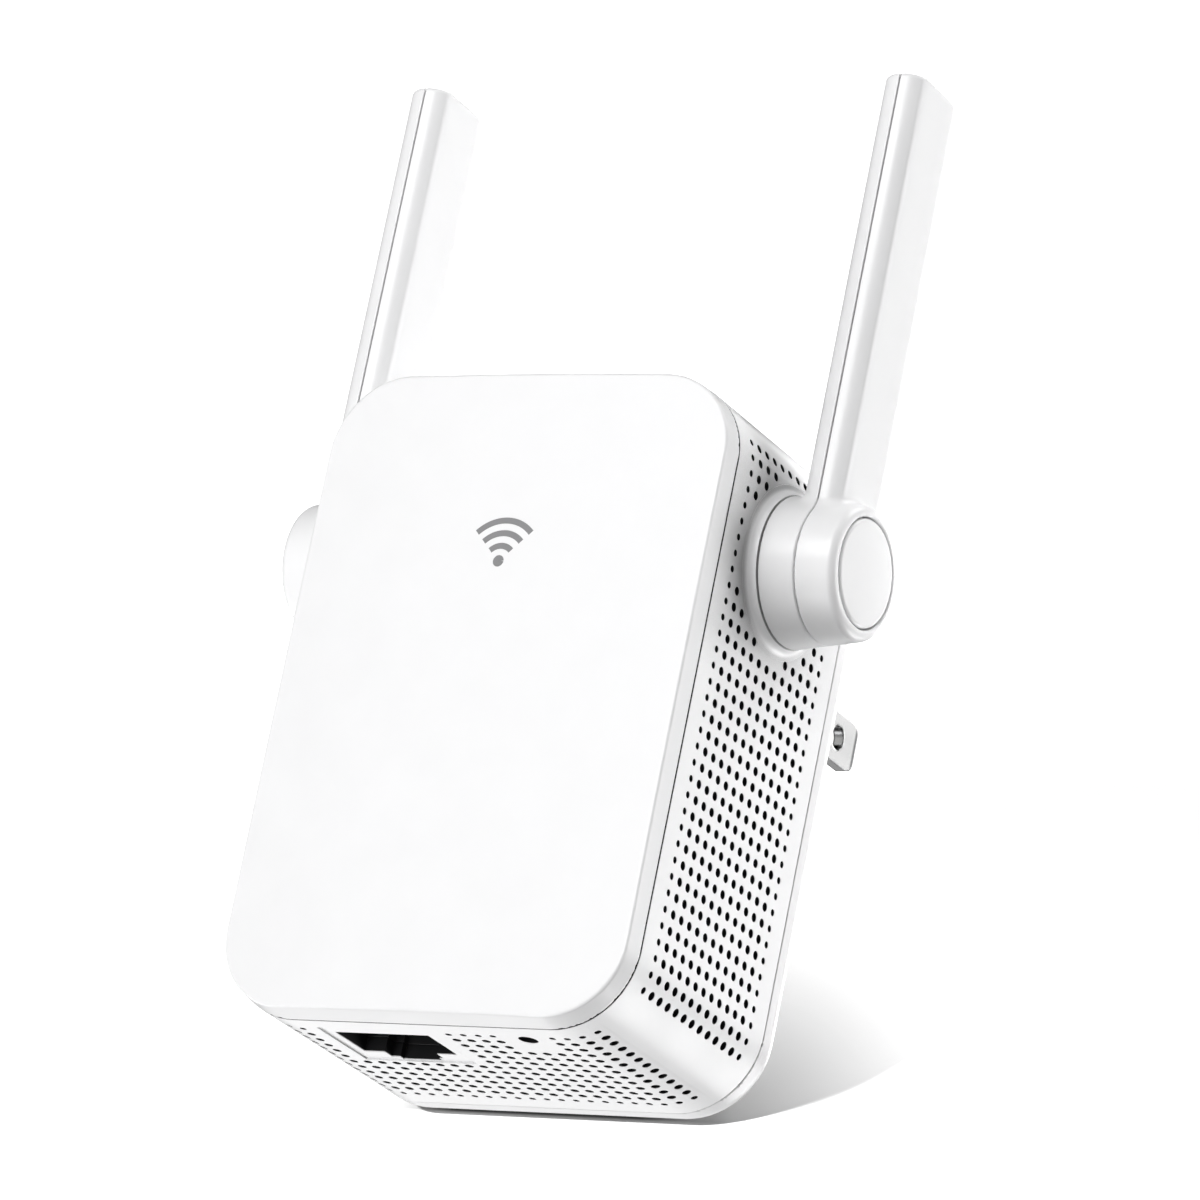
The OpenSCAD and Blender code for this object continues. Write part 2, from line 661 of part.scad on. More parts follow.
// An open ring.
module retaining_clip() color("silver") about_hinge() translate([0, 0, clip_groove_x + 0.05]) difference() {
  cylinder(r = 5.3, h = 0.6);
  translate([0, 0, -1]) cylinder(r = clip_groove_r + hair, h = 3);
  rotate([0, 0, -30]) translate([0, -1.6, -1]) cube([8, 3.2, 3]);
}
module hinge_washer() color("silver") difference() {
  hinge_rod(6.2, 23.82, 24.27);
  hinge_rod(axle_r + 0.15, 22.82, 25.82);
}

place() front_cover();
place() vent_housing();
place() rear_cover();
place() plug_insert();
place() blade();  // plug_blade_right
place() left() blade();  // plug_blade_left
place() ac_leads();
place() power_board();
place() transformer_core();
place() transformer_winding();
place() primary_capacitors();
place() output_capacitors();
place() safety_capacitor();
place() line_fuse();
place() filter_choke();
place() bridge_rectifier();
place() power_controller_chip();
place() board_link_header();
place() power_board_screws();
place() insulator_sheet();
place() main_board();
place() main_board_screws();
place() processor_chip();
place() thermal_pad();
place() heatsink();
place() radio_shields();
place() memory_chip();
place() lan_transformer();
place() ethernet_jack();
place() jack_contacts();
place() status_leds();
place() light_guide();
place() pair_button();
place() pair_switch_body();
place() pair_switch_plunger();
place() reset_switch_body();
place() reset_switch_plunger();
place() coax_connectors();
place() coax_body();  // coax_cable_right
place() left() coax_body();  // coax_cable_left
place() inner_shell();  // antenna_right_inner_shell
place() outer_shell();  // antenna_right_outer_shell
place() hub_cap();  // antenna_right_hub_cap
place() antenna_element();  // antenna_right_element
place() feed_cable();  // antenna_right_feed_cable
place() hub_screw();  // antenna_right_screw
place() retaining_clip();  // antenna_right_retaining_clip
place() hinge_washer();  // hinge_washer_right
place() left() inner_shell();  // antenna_left_inner_shell
place() left() outer_shell();  // antenna_left_outer_shell
place() left() hub_cap();  // antenna_left_hub_cap
place() left() antenna_element();  // antenna_left_element
place() left() feed_cable();  // antenna_left_feed_cable
place() left() hub_screw();  // antenna_left_screw
place() left() retaining_clip();  // antenna_left_retaining_clip
place() left() hinge_washer();  // hinge_washer_left
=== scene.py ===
"""A white wireless unit: a rounded case with a rear pod and a hinged antenna on each side.

Shapes are written in the body frame: millimetres, origin at the centre of the case, x to the
right, -y towards the front face and z up. Meshes are stored in metres about the plug's origin.
"""
import json
import math
import bmesh
import bpy
import numpy as np
from mathutils import Matrix, Vector

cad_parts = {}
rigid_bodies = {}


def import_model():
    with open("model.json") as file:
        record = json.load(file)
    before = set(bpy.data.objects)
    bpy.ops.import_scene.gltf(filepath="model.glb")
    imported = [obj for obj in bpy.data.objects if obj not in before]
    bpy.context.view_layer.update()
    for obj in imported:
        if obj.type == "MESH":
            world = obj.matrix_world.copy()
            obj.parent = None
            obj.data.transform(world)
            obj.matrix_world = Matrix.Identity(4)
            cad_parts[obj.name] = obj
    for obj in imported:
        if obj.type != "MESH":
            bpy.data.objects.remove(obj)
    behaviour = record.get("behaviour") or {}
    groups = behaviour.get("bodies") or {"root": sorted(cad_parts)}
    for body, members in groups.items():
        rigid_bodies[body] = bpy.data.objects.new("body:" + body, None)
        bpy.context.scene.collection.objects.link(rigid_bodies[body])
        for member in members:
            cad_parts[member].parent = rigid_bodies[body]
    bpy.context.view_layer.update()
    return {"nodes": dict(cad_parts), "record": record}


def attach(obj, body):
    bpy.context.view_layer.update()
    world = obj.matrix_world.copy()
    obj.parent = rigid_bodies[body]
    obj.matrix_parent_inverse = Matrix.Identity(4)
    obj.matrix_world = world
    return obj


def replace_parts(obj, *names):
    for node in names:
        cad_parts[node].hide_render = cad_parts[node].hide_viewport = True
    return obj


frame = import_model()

nodes = frame["nodes"]
pieces = {}

# The stored meshes' origin, in the body frame
PLUG_Y, PLUG_Z = 42.4, 21.4

# Case outline, seen from the front
CASE_HALF_WIDTH, CASE_HALF_HEIGHT, CASE_CORNER = 27.5, 40.1, 10.0


# ------------------------------------------------------------------ mesh tools
def make(name, verts, faces, normals=None, body="casing", smooth=True):
    """Adds a mesh given in body-frame millimetres, with custom normals where they are given."""
    verts = (np.asarray(verts, float) - np.array([0.0, PLUG_Y, PLUG_Z])) / 1000.0
    mesh = bpy.data.meshes.new(name)
    mesh.from_pydata([tuple(p) for p in verts], [], [tuple(int(i) for i in f) for f in faces])
    mesh.validate()
    for polygon in mesh.polygons:
        polygon.use_smooth = smooth
    if normals is not None:
        mesh.normals_split_custom_set_from_vertices([tuple(n) for n in normals])
    piece = bpy.data.objects.new(name, mesh)
    bpy.context.scene.collection.objects.link(piece)
    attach(piece, body)
    pieces[name] = piece
    return piece


def gradient(sdf, points, reach):
    """Central differences of sdf at each point."""
    result = np.empty_like(points)
    for axis in range(3):
        ahead, behind = points.copy(), points.copy()
        ahead[:, axis] += reach
        behind[:, axis] -= reach
        result[:, axis] = (sdf(*ahead.T) - sdf(*behind.T)) / (2 * reach)
    return result


def surface_quads(inside, ids):
    """One quad around every grid edge that crosses the surface."""
    quads = []
    for axis in range(3):
        second, third = (axis + 1) % 3, (axis + 2) % 3
        lower = [slice(1, -1)] * 3
        lower[axis] = slice(0, -1)
        upper = list(lower)
        upper[axis] = slice(1, None)
        near, far = inside[tuple(lower)], inside[tuple(upper)]
        for leaving in (True, False):
            base = np.argwhere((near != far) & (near == leaving))
            base[:, second] += 1
            base[:, third] += 1
            around = [(0, 0), (-1, 0), (-1, -1), (0, -1)]
            if not leaving:
                around = around[::-1]
            quad = []
            for second_step, third_step in around:
                cell = base.copy()
                cell[:, second] += second_step
                cell[:, third] += third_step
                quad.append(ids[tuple(cell.T)])
            quads.append(np.stack(quad, 1))
    return np.concatenate(quads)


def surface(sdf, low, high, step):
    """Surface nets over a grid, then the vertices are drawn onto the zero level."""
    axes = [np.arange(low[i], high[i] + step, step) for i in range(3)]
    field = sdf(*np.meshgrid(*axes, indexing="ij")).astype(np.float64)
    field[field == 0] = 1e-9
    inside = field < 0
    size = np.array(field.shape) - 1
    corners = [(a, b, c) for a in (0, 1) for b in (0, 1) for c in (0, 1)]
    filled = sum(inside[a:size[0] + a, b:size[1] + b, c:size[2] + c].astype(np.int8)
                 for a, b, c in corners)
    active = (filled > 0) & (filled < 8)
    cells = np.argwhere(active)
    ids = -np.ones(tuple(size), dtype=np.int64)
    ids[active] = np.arange(len(cells))

    # Each vertex starts at the mean of its cell's edge crossings
    total = np.zeros((len(cells), 3))
    count = np.zeros(len(cells))
    for corner in corners:
        for axis in range(3):
            if corner[axis]:
                continue
            other = list(corner)
            other[axis] = 1
            start = field[tuple((cells + corner).T)]
            end = field[tuple((cells + other).T)]
            crosses = (start < 0) != (end < 0)
            point = np.tile(np.array(corner, float), (len(cells), 1))
            point[:, axis] = np.where(crosses, start / np.where(crosses, start - end, 1), 0)
            total += np.where(crosses[:, None], point, 0)
            count += crosses
    verts = np.array(low) + (cells + total / count[:, None]) * step

    reach = step * 0.02
    for _ in range(4):
        slope = gradient(sdf, verts, reach)
        move = -(sdf(*verts.T) / np.maximum((slope * slope).sum(1), 0.2))[:, None] * slope
        length = np.linalg.norm(move, axis=1, keepdims=True)
        verts += move * np.minimum(1, 0.6 * step / np.maximum(length, 1e-9))
    slope = gradient(sdf, verts, reach)
    normals = slope / np.maximum(np.linalg.norm(slope, axis=1, keepdims=True), 1e-9)
    return verts, surface_quads(inside, ids), normals


# ------------------------------------------------------------------ distance tools
def blend_min(a, b, width):
    """Union with a smooth fillet."""
    h = np.clip(0.5 + 0.5 * (b - a) / width, 0, 1)
    return b + (a - b) * h - width * h * (1 - h)


def blend_max(a, b, width):
    return -blend_min(-a, -b, width)


def both(a, b, radius):
    """Intersection whose edge is rounded."""
    u, w = a + radius, b + radius
    return np.minimum(np.maximum(u, w), 0) + np.hypot(np.maximum(u, 0), np.maximum(w, 0)) - radius


def rounded_rect(x, z, half_x, half_z, radius):
    u, w = np.abs(x) - half_x + radius, np.abs(z) - half_z + radius
    return np.hypot(np.maximum(u, 0), np.maximum(w, 0)) + np.minimum(np.maximum(u, w), 0) - radius


# ------------------------------------------------------------------ casing
FRONT_SPLIT_Y, REAR_SPLIT_Y = -15.45, 15.55     # inner edges of the two covers
FACE_Y = -19.4                                  # middle of the front face
FACE_RADIUS_X, FACE_RADIUS_Z = 380.0, 5200.0    # its crown, across and up
REAR_Y = 20.0
POD_START_Y, POD_END_Y = 19.0, 42.1
HOLE_FLOOR_Y = 39.5


def face_y(x, z):
    bow = FACE_RADIUS_X - np.sqrt(np.maximum(FACE_RADIUS_X ** 2 - x * x, 1))
    return FACE_Y + bow + z * z / (2 * FACE_RADIUS_Z)


def front_sdf(x, y, z):
    """Slightly tapered cover with a crowned face."""
    taper = np.clip((FRONT_SPLIT_Y - y) / 3.0, 0, 1.3)
    side = rounded_rect(x, z - 0.12 * taper, CASE_HALF_WIDTH - 0.2 * taper,
                        CASE_HALF_HEIGHT - 0.25 * taper, CASE_CORNER - 0.2 * taper)
    cover = both(side, face_y(x, z) - y, radius=0.32)
    return both(cover, y - FRONT_SPLIT_Y, radius=0.12)


def rear_sdf(x, y, z):
    """Rear cover, with a tapered pod that has a recess in its end."""
    cover = both(rounded_rect(x, z, CASE_HALF_WIDTH, CASE_HALF_HEIGHT, CASE_CORNER),
                 y - REAR_Y, radius=3.0)
    taper = np.clip((y - POD_START_Y) / (POD_END_Y - POD_START_Y), 0, 1.1)
    pod = rounded_rect(x, z - PLUG_Z, 16.5 - 4.6 * taper, 15.7 - 1.5 * taper, 8.0 - 2.2 * taper)
    pod = both(pod, y - POD_END_Y, radius=1.6)
    cover = blend_min(cover, pod, width=1.6)
    cover = both(cover, REAR_SPLIT_Y - y, radius=0.12)
    hole = rounded_rect(x, z - PLUG_Z, half_x=9.05, half_z=11.05, radius=3.05)
    return blend_max(cover, -np.maximum(hole, HOLE_FLOOR_Y - y), width=0.15)


# ------------------------------------------------------------------ right antenna
HINGE_Z = 22.2                              # height of the hinge axis, which runs along x
SEAM_X, HALF_SEAM = 33.3, 0.07              # joint between inner and outer shells
HUB_INNER_X, HUB_OUTER_X = 28.8, 38.3
HUB_RADIUS, HUB_SLOPE = 9.1, -1.0 / 8.5     # radius at the inner end, change per mm of x
HUB_DISTANCE_SCALE = 0.993                  # turns the radial gap into distance from the cone
BLADE_HALF_DEPTH, BLADE_HALF_THICKNESS = 5.8, 2.75
BLADE_END_RADIUS = 3.1
BLADE_TOP_Z = 84.2
RECESS_RADIUS, RECESS_FLOOR_X = 6.68, 37.1
AXLE_RADIUS, BORE_RADIUS = 4.0, 2.6
AXLE_INNER_X, AXLE_OUTER_X = 22.2, 31
CAP_RADIUS, CAP_BASE_X, CAP_TOP_X = 6.5, 37.13, 38.62
CAP_DOME_RADIUS = 90
CAP_REACH = 7.1                             # half-size of the cap's grid


def hinge_distance(y, z):
    return np.hypot(y, z - HINGE_Z)


def antenna_sdf(x, y, z):
    """Conical hub and upright blade, with a round recess in the hub's outer end."""
    radial = hinge_distance(y, z)
    hub = (radial - (HUB_RADIUS + HUB_SLOPE * (x - HUB_INNER_X))) * HUB_DISTANCE_SCALE
    hub = both(hub, x - HUB_OUTER_X, radius=1.0)
    hub = both(hub, HUB_INNER_X - x, radius=0.18)
    straight = BLADE_HALF_DEPTH - BLADE_END_RADIUS
    edge = np.hypot(x - SEAM_X, np.maximum(np.abs(y) - straight, 0)) - BLADE_END_RADIUS
    blade = both(edge, np.abs(x - SEAM_X) - BLADE_HALF_THICKNESS, radius=0.35)
    height = z - HINGE_Z
    top = BLADE_TOP_Z - HINGE_Z - 0.35 * np.clip(y / BLADE_HALF_DEPTH, 0, 1) ** 2
    blade = both(blade, height - top, radius=0.5)
    blade = np.maximum(blade, -height)
    recess = np.maximum(radial - RECESS_RADIUS, RECESS_FLOOR_X - x)
    return blend_max(blend_min(hub, blade, width=1.0), -recess, width=0.2)


def inner_sdf(x, y, z):
    """The half next to the case, with its hollow axle."""
    radial = hinge_distance(y, z)
    shell = both(antenna_sdf(x, y, z), x - (SEAM_X - HALF_SEAM), radius=0.14)
    axle = np.maximum(np.maximum(radial - AXLE_RADIUS, AXLE_INNER_X - x), x - AXLE_OUTER_X)
    return np.maximum(np.minimum(shell, axle), -(radial - BORE_RADIUS))


def outer_sdf(x, y, z):
    return both(antenna_sdf(x, y, z), (SEAM_X + HALF_SEAM) - x, radius=0.14)


def cap_sdf(x, y, z):
    """Disc with a shallow dome, seated in the hub's recess."""
    radial = hinge_distance(y, z)
    dome_x = CAP_TOP_X - CAP_DOME_RADIUS
    dome = np.sqrt((x - dome_x) ** 2 + radial ** 2) - CAP_DOME_RADIUS
    disc = both(radial - CAP_RADIUS, dome, radius=0.45)
    return both(disc, CAP_BASE_X - x, radius=0.1)


# ------------------------------------------------------------------ skins
STEP_SCALE = 1.0

# name, node replaced, shape, grid's low corner, high corner, step
COVERS = (
    ("front_cover_skin", "front_cover", front_sdf,
     (-28.33, -20.21, -41.07), (28.3, -15, 41), 0.27),
    ("rear_cover_skin", "rear_cover", rear_sdf,
     (-28.33, 15.13, -41.07), (28.3, 42.7, 41), 0.36),
)
# as above, with the names' endings; the left antenna mirrors the right
ANTENNA_PARTS = (
    ("inner_skin", "inner_shell", inner_sdf, (21.83, -9.93, 12.37), (33.6, 9.9, 85), 0.22),
    ("outer_skin", "outer_shell", outer_sdf, (33.12, -9.93, 12.37), (38.8, 9.9, 85), 0.22),
    ("cap_skin", "hub_cap", cap_sdf, (36.8, -CAP_REACH, HINGE_Z - CAP_REACH),
     (39, CAP_REACH, HINGE_Z + CAP_REACH), 0.2),
)


def add_skin(name, node, body, geometry):
    verts, faces, normals = geometry
    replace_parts(make(name, verts, faces, normals, body=body), node)


def mirror_x(verts, faces, normals):
    flip = np.array([-1, 1, 1])
    return verts * flip, faces[:, ::-1], normals * flip


for name, node, sdf, low, high, step in COVERS:
    add_skin(name, node, "casing", surface(sdf, low, high, step * STEP_SCALE))
for skin, node, sdf, low, high, step in ANTENNA_PARTS:
    right_part = surface(sdf, low, high, step * STEP_SCALE)
    for body, geometry in (("antenna_right", right_part), ("antenna_left", mirror_x(*right_part))):
        add_skin(f"{body}_{skin}", f"{body}_{node}", body, geometry)


# ------------------------------------------------------------------ tongues inside the covers
TONGUE_HALF_WIDTH, TONGUE_HALF_HEIGHT, TONGUE_CORNER = 25.4, 37.95, 7.9
TONGUE_WALL = 0.8


def arc(x, z, radius, start, end, segments):
    """Points from start to end, in degrees."""
    angles = [math.radians(start + (end - start) * i / segments) for i in range(segments + 1)]
    return [(x + radius * math.cos(a), z + radius * math.sin(a)) for a in angles]


def tongue_outline(inset):
    radius = TONGUE_CORNER - inset
    x = TONGUE_HALF_WIDTH - inset - radius
    z = TONGUE_HALF_HEIGHT - inset - radius
    points = []
    for side_x, side_z, start in ((1, 1, 0), (-1, 1, 90), (-1, -1, 180), (1, -1, 270)):
        points += arc(side_x * x, side_z * z, radius, start, start + 90, segments=14)
    return points


def tongue(name, start_y, end_y):
    """A thin-walled rounded frame between two depths."""
    outer, inner = tongue_outline(0.0), tongue_outline(TONGUE_WALL)
    rings = [(outer, start_y), (outer, end_y), (inner, end_y), (inner, start_y)]
    verts = [(x, y, z) for points, y in rings for x, z in points]
    count = len(outer)
    faces = []
    for i in range(len(rings)):
        here, after = i * count, (i + 1) % len(rings) * count
        for j in range(count):
            k = (j + 1) % count
            faces.append((here + j, here + k, after + k, after + j))
    make(name, verts, faces, smooth=False)


tongue("front_tongue", -15.6, -13.55)
tongue("rear_tongue", 13.65, 15.7)


# ------------------------------------------------------------------ material tools
class Graph:
    """Adds shader nodes to the emptied node tree of a material or world."""

    def __init__(self, owner):
        owner.use_nodes = True
        self.tree = owner.node_tree
        self.tree.nodes.clear()

    def node(self, kind, inputs=None, **settings):
        """Inputs are keyed by name or index; a socket is linked, anything else is a value."""
        node = self.tree.nodes.new("ShaderNode" + kind)
        for key, value in settings.items():
            setattr(node, key, value)
        for key, value in (inputs or {}).items():
            if isinstance(value, bpy.types.NodeSocket):
                self.tree.links.new(value, node.inputs[key])
            else:
                node.inputs[key].default_value = value
        return node

    def out(self, kind, inputs=None, **settings):
        return self.node(kind, inputs, **settings).outputs[0]

    def math(self, operation, *values):
        return self.out("Math", dict(enumerate(values)), operation=operation)

    def dot(self, a, b):
        return self.node("VectorMath", {0: a, 1: b}, operation="DOT_PRODUCT").outputs["Value"]

    def map_range(self, value, from_min, from_max, to_min=0.0, to_max=1.0, clamp=True):
        inputs = {"Value": value, "From Min": from_min, "From Max": from_max,
                  "To Min": to_min, "To Max": to_max}
        return self.out("MapRange", inputs, clamp=clamp)

    def mix(self, factor, first, second, **settings):
        inputs = {"Fac": factor, "Color1": first, "Color2": second}
        return self.out("MixRGB", inputs, **settings)

    def ramp(self, factor, low, high, start=0.0, end=1.0):
        node = self.node("ValToRGB", {"Fac": factor})
        for element, colour, position in zip(node.color_ramp.elements, (low, high), (start, end)):
            element.position = position
            element.color = (*colour, 1)
        return node.outputs[0]


def painted_vent_shade(graph, colour, rounded, position):
    """Painted shade on the crowded side walls and, near-black, in the holes below the outer skin.
    """
    # Painted shade: the side walls are darkened by occlusion where the hinge bosses crowd them
    occlusion = graph.node("AmbientOcclusion", {"Distance": 0.015}, samples=8).outputs["AO"]
    shade = graph.map_range(occlusion, from_min=0.72, from_max=0.95, to_min=0.52)
    normal = graph.node("SeparateXYZ", {0: rounded}).outputs
    wall = graph.map_range(graph.math("ABSOLUTE", normal["X"]), from_min=0.8, from_max=0.97)
    colour = graph.mix(wall, colour, shade, blend_type="MULTIPLY")

    # Signed distance from the case's rounded outline, negative inside, in metres
    place = graph.node("SeparateXYZ", {0: position}).outputs
    radius = CASE_CORNER / 1000
    x = graph.math("SUBTRACT", graph.math("ABSOLUTE", place["X"]),
                   (CASE_HALF_WIDTH - CASE_CORNER) / 1000)
    body_z = graph.math("ADD", place["Z"], PLUG_Z / 1000)
    z = graph.math("SUBTRACT", graph.math("ABSOLUTE", body_z),
                   (CASE_HALF_HEIGHT - CASE_CORNER) / 1000)
    past_x, past_z = graph.math("MAXIMUM", x, 0), graph.math("MAXIMUM", z, 0)
    squares = graph.math("ADD", graph.math("MULTIPLY", past_x, past_x),
                         graph.math("MULTIPLY", past_z, past_z))
    past = graph.math("SQRT", squares)
    within = graph.math("MINIMUM", graph.math("MAXIMUM", x, z), 0)
    distance = graph.math("SUBTRACT", graph.math("ADD", past, within), radius)

    # The network socket's shallow frame stays white: there the painted shade starts below its
    # floor
    def near(value, centre, half_size):
        offset = graph.math("ABSOLUTE", graph.math("ADD", value, -centre))
        return graph.math("LESS_THAN", offset, half_size)

    socket_x = near(place["X"], centre=-0.0080, half_size=0.00775)
    socket_y = near(place["Y"], centre=-(PLUG_Y + 6.75) / 1000, half_size=0.0061)
    socket_z = graph.math("LESS_THAN", place["Z"], -0.055)
    socket = graph.math("MULTIPLY", graph.math("MULTIPLY", socket_x, socket_y), socket_z)
    frame_depth = 0.00026
    distance = graph.math("ADD", distance, graph.math("MULTIPLY", socket, frame_depth))
    # Painted shade: below the outer skin, in holes and openings, the colour goes near-black
    depth = graph.map_range(distance, from_min=-0.00001, from_max=-0.00008)
    return graph.mix(depth, colour, (0.012, 0.012, 0.013, 1))


def painted_blade_edge_shade(graph, colour, rounded, position):
    """Painted shade and dark reflections on the blade's rounded edges: most at the tip, least
    along the top.
    """
    normal = graph.node("SeparateXYZ", {0: rounded}).outputs
    place = graph.node("SeparateXYZ", {0: position}).outputs
    # value, where the painted shade starts, where it is full, its strength
    zones = (
        (normal["Y"], 0.25, 0.5, 0.95),
        (place["Y"], 0.0159, 0.0163, 0.93),
        (normal["Z"], -0.3, -0.55, 0.8),
        (normal["Z"], 0.3, 0.6, 0.45),
    )
    edge_shades = [graph.map_range(value, from_min=start, from_max=full, to_max=strength)
               for value, start, full, strength in zones]
    total = edge_shades[0]
    for zone in edge_shades[1:]:
        total = graph.math("MAXIMUM", total, zone)
    # Painted shade: the marked zones go near-black
    return graph.mix(total, colour, (0.075, 0.075, 0.077, 1))


def material(name, colour, roughness, metallic=0.0, variation=0.03, variation_scale=160,
             bump=0.05, bump_scale=2600, bevel=0.12, edge=0.06, coat=0.0, transmission=0.0,
             stretch=None, painted_shade=None):
    """Mottled surface with fine bumps and edges rounded by bevel mm.

    edge is how far edges are lightened on metal or darkened otherwise, stretch scales the noise
    by axis, and painted_shade is a function that paints shade into the colour.
    """
    result = bpy.data.materials.new(name)
    graph = Graph(result)
    position = graph.node("TexCoord").outputs["Object"]
    coords = position
    if stretch:
        coords = graph.out("Mapping", {"Vector": position, "Scale": stretch})

    def noise(scale, detail):
        inputs = {"Vector": coords, "Scale": scale, "Detail": detail}
        return graph.node("TexNoise", inputs).outputs["Fac"]

    mottle = noise(variation_scale, detail=4)
    grain = noise(bump_scale, detail=3)
    low = [max(c * (1 - variation), 0) for c in colour]
    high = [min(c * (1 + variation * 0.6), 1) for c in colour]
    mottled = graph.ramp(mottle, low, high, start=0.3, end=0.7)

    # Edges are where the rounded normal departs from the true one
    rounded = graph.out("Bevel", {"Radius": bevel / 1000}, samples=6)
    true_normal = graph.node("NewGeometry").outputs["Normal"]
    on_edge = graph.map_range(graph.dot(rounded, true_normal), from_min=0.97, from_max=0.6)
    wear = graph.math("MULTIPLY", on_edge, mottle)
    edge_colour = [min(c + edge if metallic else c * (1 - edge), 1) for c in colour]
    surface_colour = graph.mix(wear, mottled, (*edge_colour, 1))
    # Painted shade, where a material is given one
    if painted_shade:
        surface_colour = painted_shade(graph, surface_colour, rounded, position)

    spread = 0.06
    roughness_map = graph.map_range(mottle, from_min=0.3, from_max=0.7,
                                    to_min=max(roughness - spread, 0.02),
                                    to_max=min(roughness + spread, 1))
    bumped = graph.out("Bump", {"Strength": bump, "Distance": 0.00004, "Height": grain,
                                "Normal": rounded})
    shader = graph.out("BsdfPrincipled", {
        "Base Color": surface_colour, "Roughness": roughness_map, "Normal": bumped,
        "Metallic": metallic, "IOR": 1.46, "Specular IOR Level": 0.5,
        "Coat Weight": coat, "Coat Roughness": 0.12, "Transmission Weight": transmission})
    graph.node("OutputMaterial", {0: shader})
    return result


# ------------------------------------------------------------------ materials, by slot
MATERIALS = {
    "case_white": material("case_white_plastic", (0.83, 0.83, 0.835), roughness=0.36,
                           variation=0.012, bump=0.10, coat=0.15),
    "case_vented": material("case_white_vented", (0.90, 0.90, 0.905), roughness=0.38,
                            variation=0.012, bump=0.10, coat=0.1, painted_shade=painted_vent_shade),
    "insert_white": material("insert_white_plastic", (0.74, 0.74, 0.73), roughness=0.45,
                             bump=0.12),
    "plated_brass": material("nickel_plate", (0.42, 0.42, 0.42), roughness=0.2, metallic=1.0,
                             variation=0.08, bump=0.25, bump_scale=900, edge=0.0, bevel=0.45,
                             stretch=(1, 0.12, 1), painted_shade=painted_blade_edge_shade),
    "cable_jacket": material("cable_jacket", (0.03, 0.03, 0.032), roughness=0.55,
                             variation=0.2, bump=0.2),
    "board_tan": material("bare_laminate", (0.42, 0.28, 0.13), roughness=0.6,
                          variation=0.15, bump=0.4, variation_scale=500),
    "board_green": material("green_resist", (0.02, 0.13, 0.06), roughness=0.3,
                            variation=0.25, bump=0.2, coat=0.4, variation_scale=600),
    "black_resin": material("black_resin", (0.010, 0.010, 0.011), roughness=0.5,
                            variation=0.2, bump=0.3),
    "yellow_film": material("yellow_film", (0.62, 0.45, 0.08), roughness=0.3,
                            variation=0.1, bump=0.2, coat=0.5),
    "capacitor_sleeve": material("capacitor_sleeve", (0.02, 0.03, 0.08), roughness=0.28,
                                 variation=0.15, bump=0.1, coat=0.5),
    "coated_component": material("coated_component", (0.08, 0.13, 0.3), roughness=0.4,
                                 variation=0.15, bump=0.2),
    "gilt_contact": material("gold_flash", (0.75, 0.52, 0.18), roughness=0.22, metallic=1.0,
                             variation=0.08, bump=0.1, edge=0.1),
    "aluminium_fin": material("aluminium_fin", (0.6, 0.61, 0.63), roughness=0.35, metallic=1.0,
                              variation=0.08, bump=0.3, stretch=(1, 1, 0.1)),
    "soft_pad": material("soft_pad", (0.3, 0.4, 0.5), roughness=0.8, variation=0.1, bump=0.4),
    "switch_ivory": material("switch_ivory", (0.7, 0.66, 0.55), roughness=0.4,
                             variation=0.05, bump=0.1),
    "clear_guide": material("clear_guide", (0.9, 0.93, 0.95), roughness=0.08,
                            variation=0.02, bump=0.03, transmission=0.9),
    "tin_steel": material("tin_plate", (0.56, 0.56, 0.56), roughness=0.3, metallic=1.0,
                          variation=0.1, bump=0.2, edge=0.1),
    "ink": material("grey_ink", (0.23, 0.23, 0.235), roughness=0.45,
                    variation=0.05, bump=0.1, bevel=0.01),
}


def paint(piece, slot):
    piece.data.materials.clear()
    piece.data.materials.append(MATERIALS[slot])


slots = {part["node"]: part["material_slot"] for part in frame["record"]["subparts"]}
for name, node in nodes.items():
    paint(node, slots.get(name, "case_white"))
paint(nodes["vent_housing"], "case_vented")
for piece in pieces.values():
    paint(piece, "case_white")

# ------------------------------------------------------------------ printed wireless mark
MARK_X, MARK_Z = 0.2, 15.9
ARC_RADII, ARC_WIDTH = (2.0, 3.6, 5.2), 0.75
DOT_RADIUS, DOT_RAISE = 0.36, 0.1
INK_CLEARANCE, INK_HALF_THICKNESS = 0.004, 0.02


def stroke(name, path, width):
    """A flat printed stroke on the front face, along a path of (x, z) points."""
    verts, faces = [], []
    count = len(path)
    for i, (x, z) in enumerate(path):
        before, after = path[max(i - 1, 0)], path[min(i + 1, count - 1)]
        along = np.array([after[0] - before[0], after[1] - before[1]])
        along = along / max(np.linalg.norm(along), 1e-9)
        across = np.array([-along[1], along[0]]) * width / 2
        for height in (-INK_HALF_THICKNESS, INK_HALF_THICKNESS):
            for sign in (-1, 1):
                u, w = x + sign * across[0], z + sign * across[1]
                verts.append((u, face_y(u, w) - INK_CLEARANCE - height, w))
    for i in range(count - 1):
        k = i * 4
        faces += [(k + 2, k + 3, k + 7, k + 6), (k + 1, k, k + 4, k + 5),
                  (k, k + 2, k + 6, k + 4), (k + 3, k + 1, k + 5, k + 7)]
    last = 4 * count - 4
    faces += [(0, 1, 3, 2), (last, last + 2, last + 3, last + 1)]
    paint(make(name, verts, faces, smooth=False), "ink")


for i, radius in enumerate(ARC_RADII):
    stroke(f"mark_arc_{i}", arc(MARK_X, MARK_Z, radius, 45, 135, segments=24), ARC_WIDTH)
stroke("mark_dot", arc(MARK_X, MARK_Z + DOT_RAISE, DOT_RADIUS, 0, 360, segments=24),
       2 * DOT_RADIUS)

# ------------------------------------------------------------------ camera
CAMERA_PLACE = Vector((0.4823592, -0.8033430, -0.2961425))
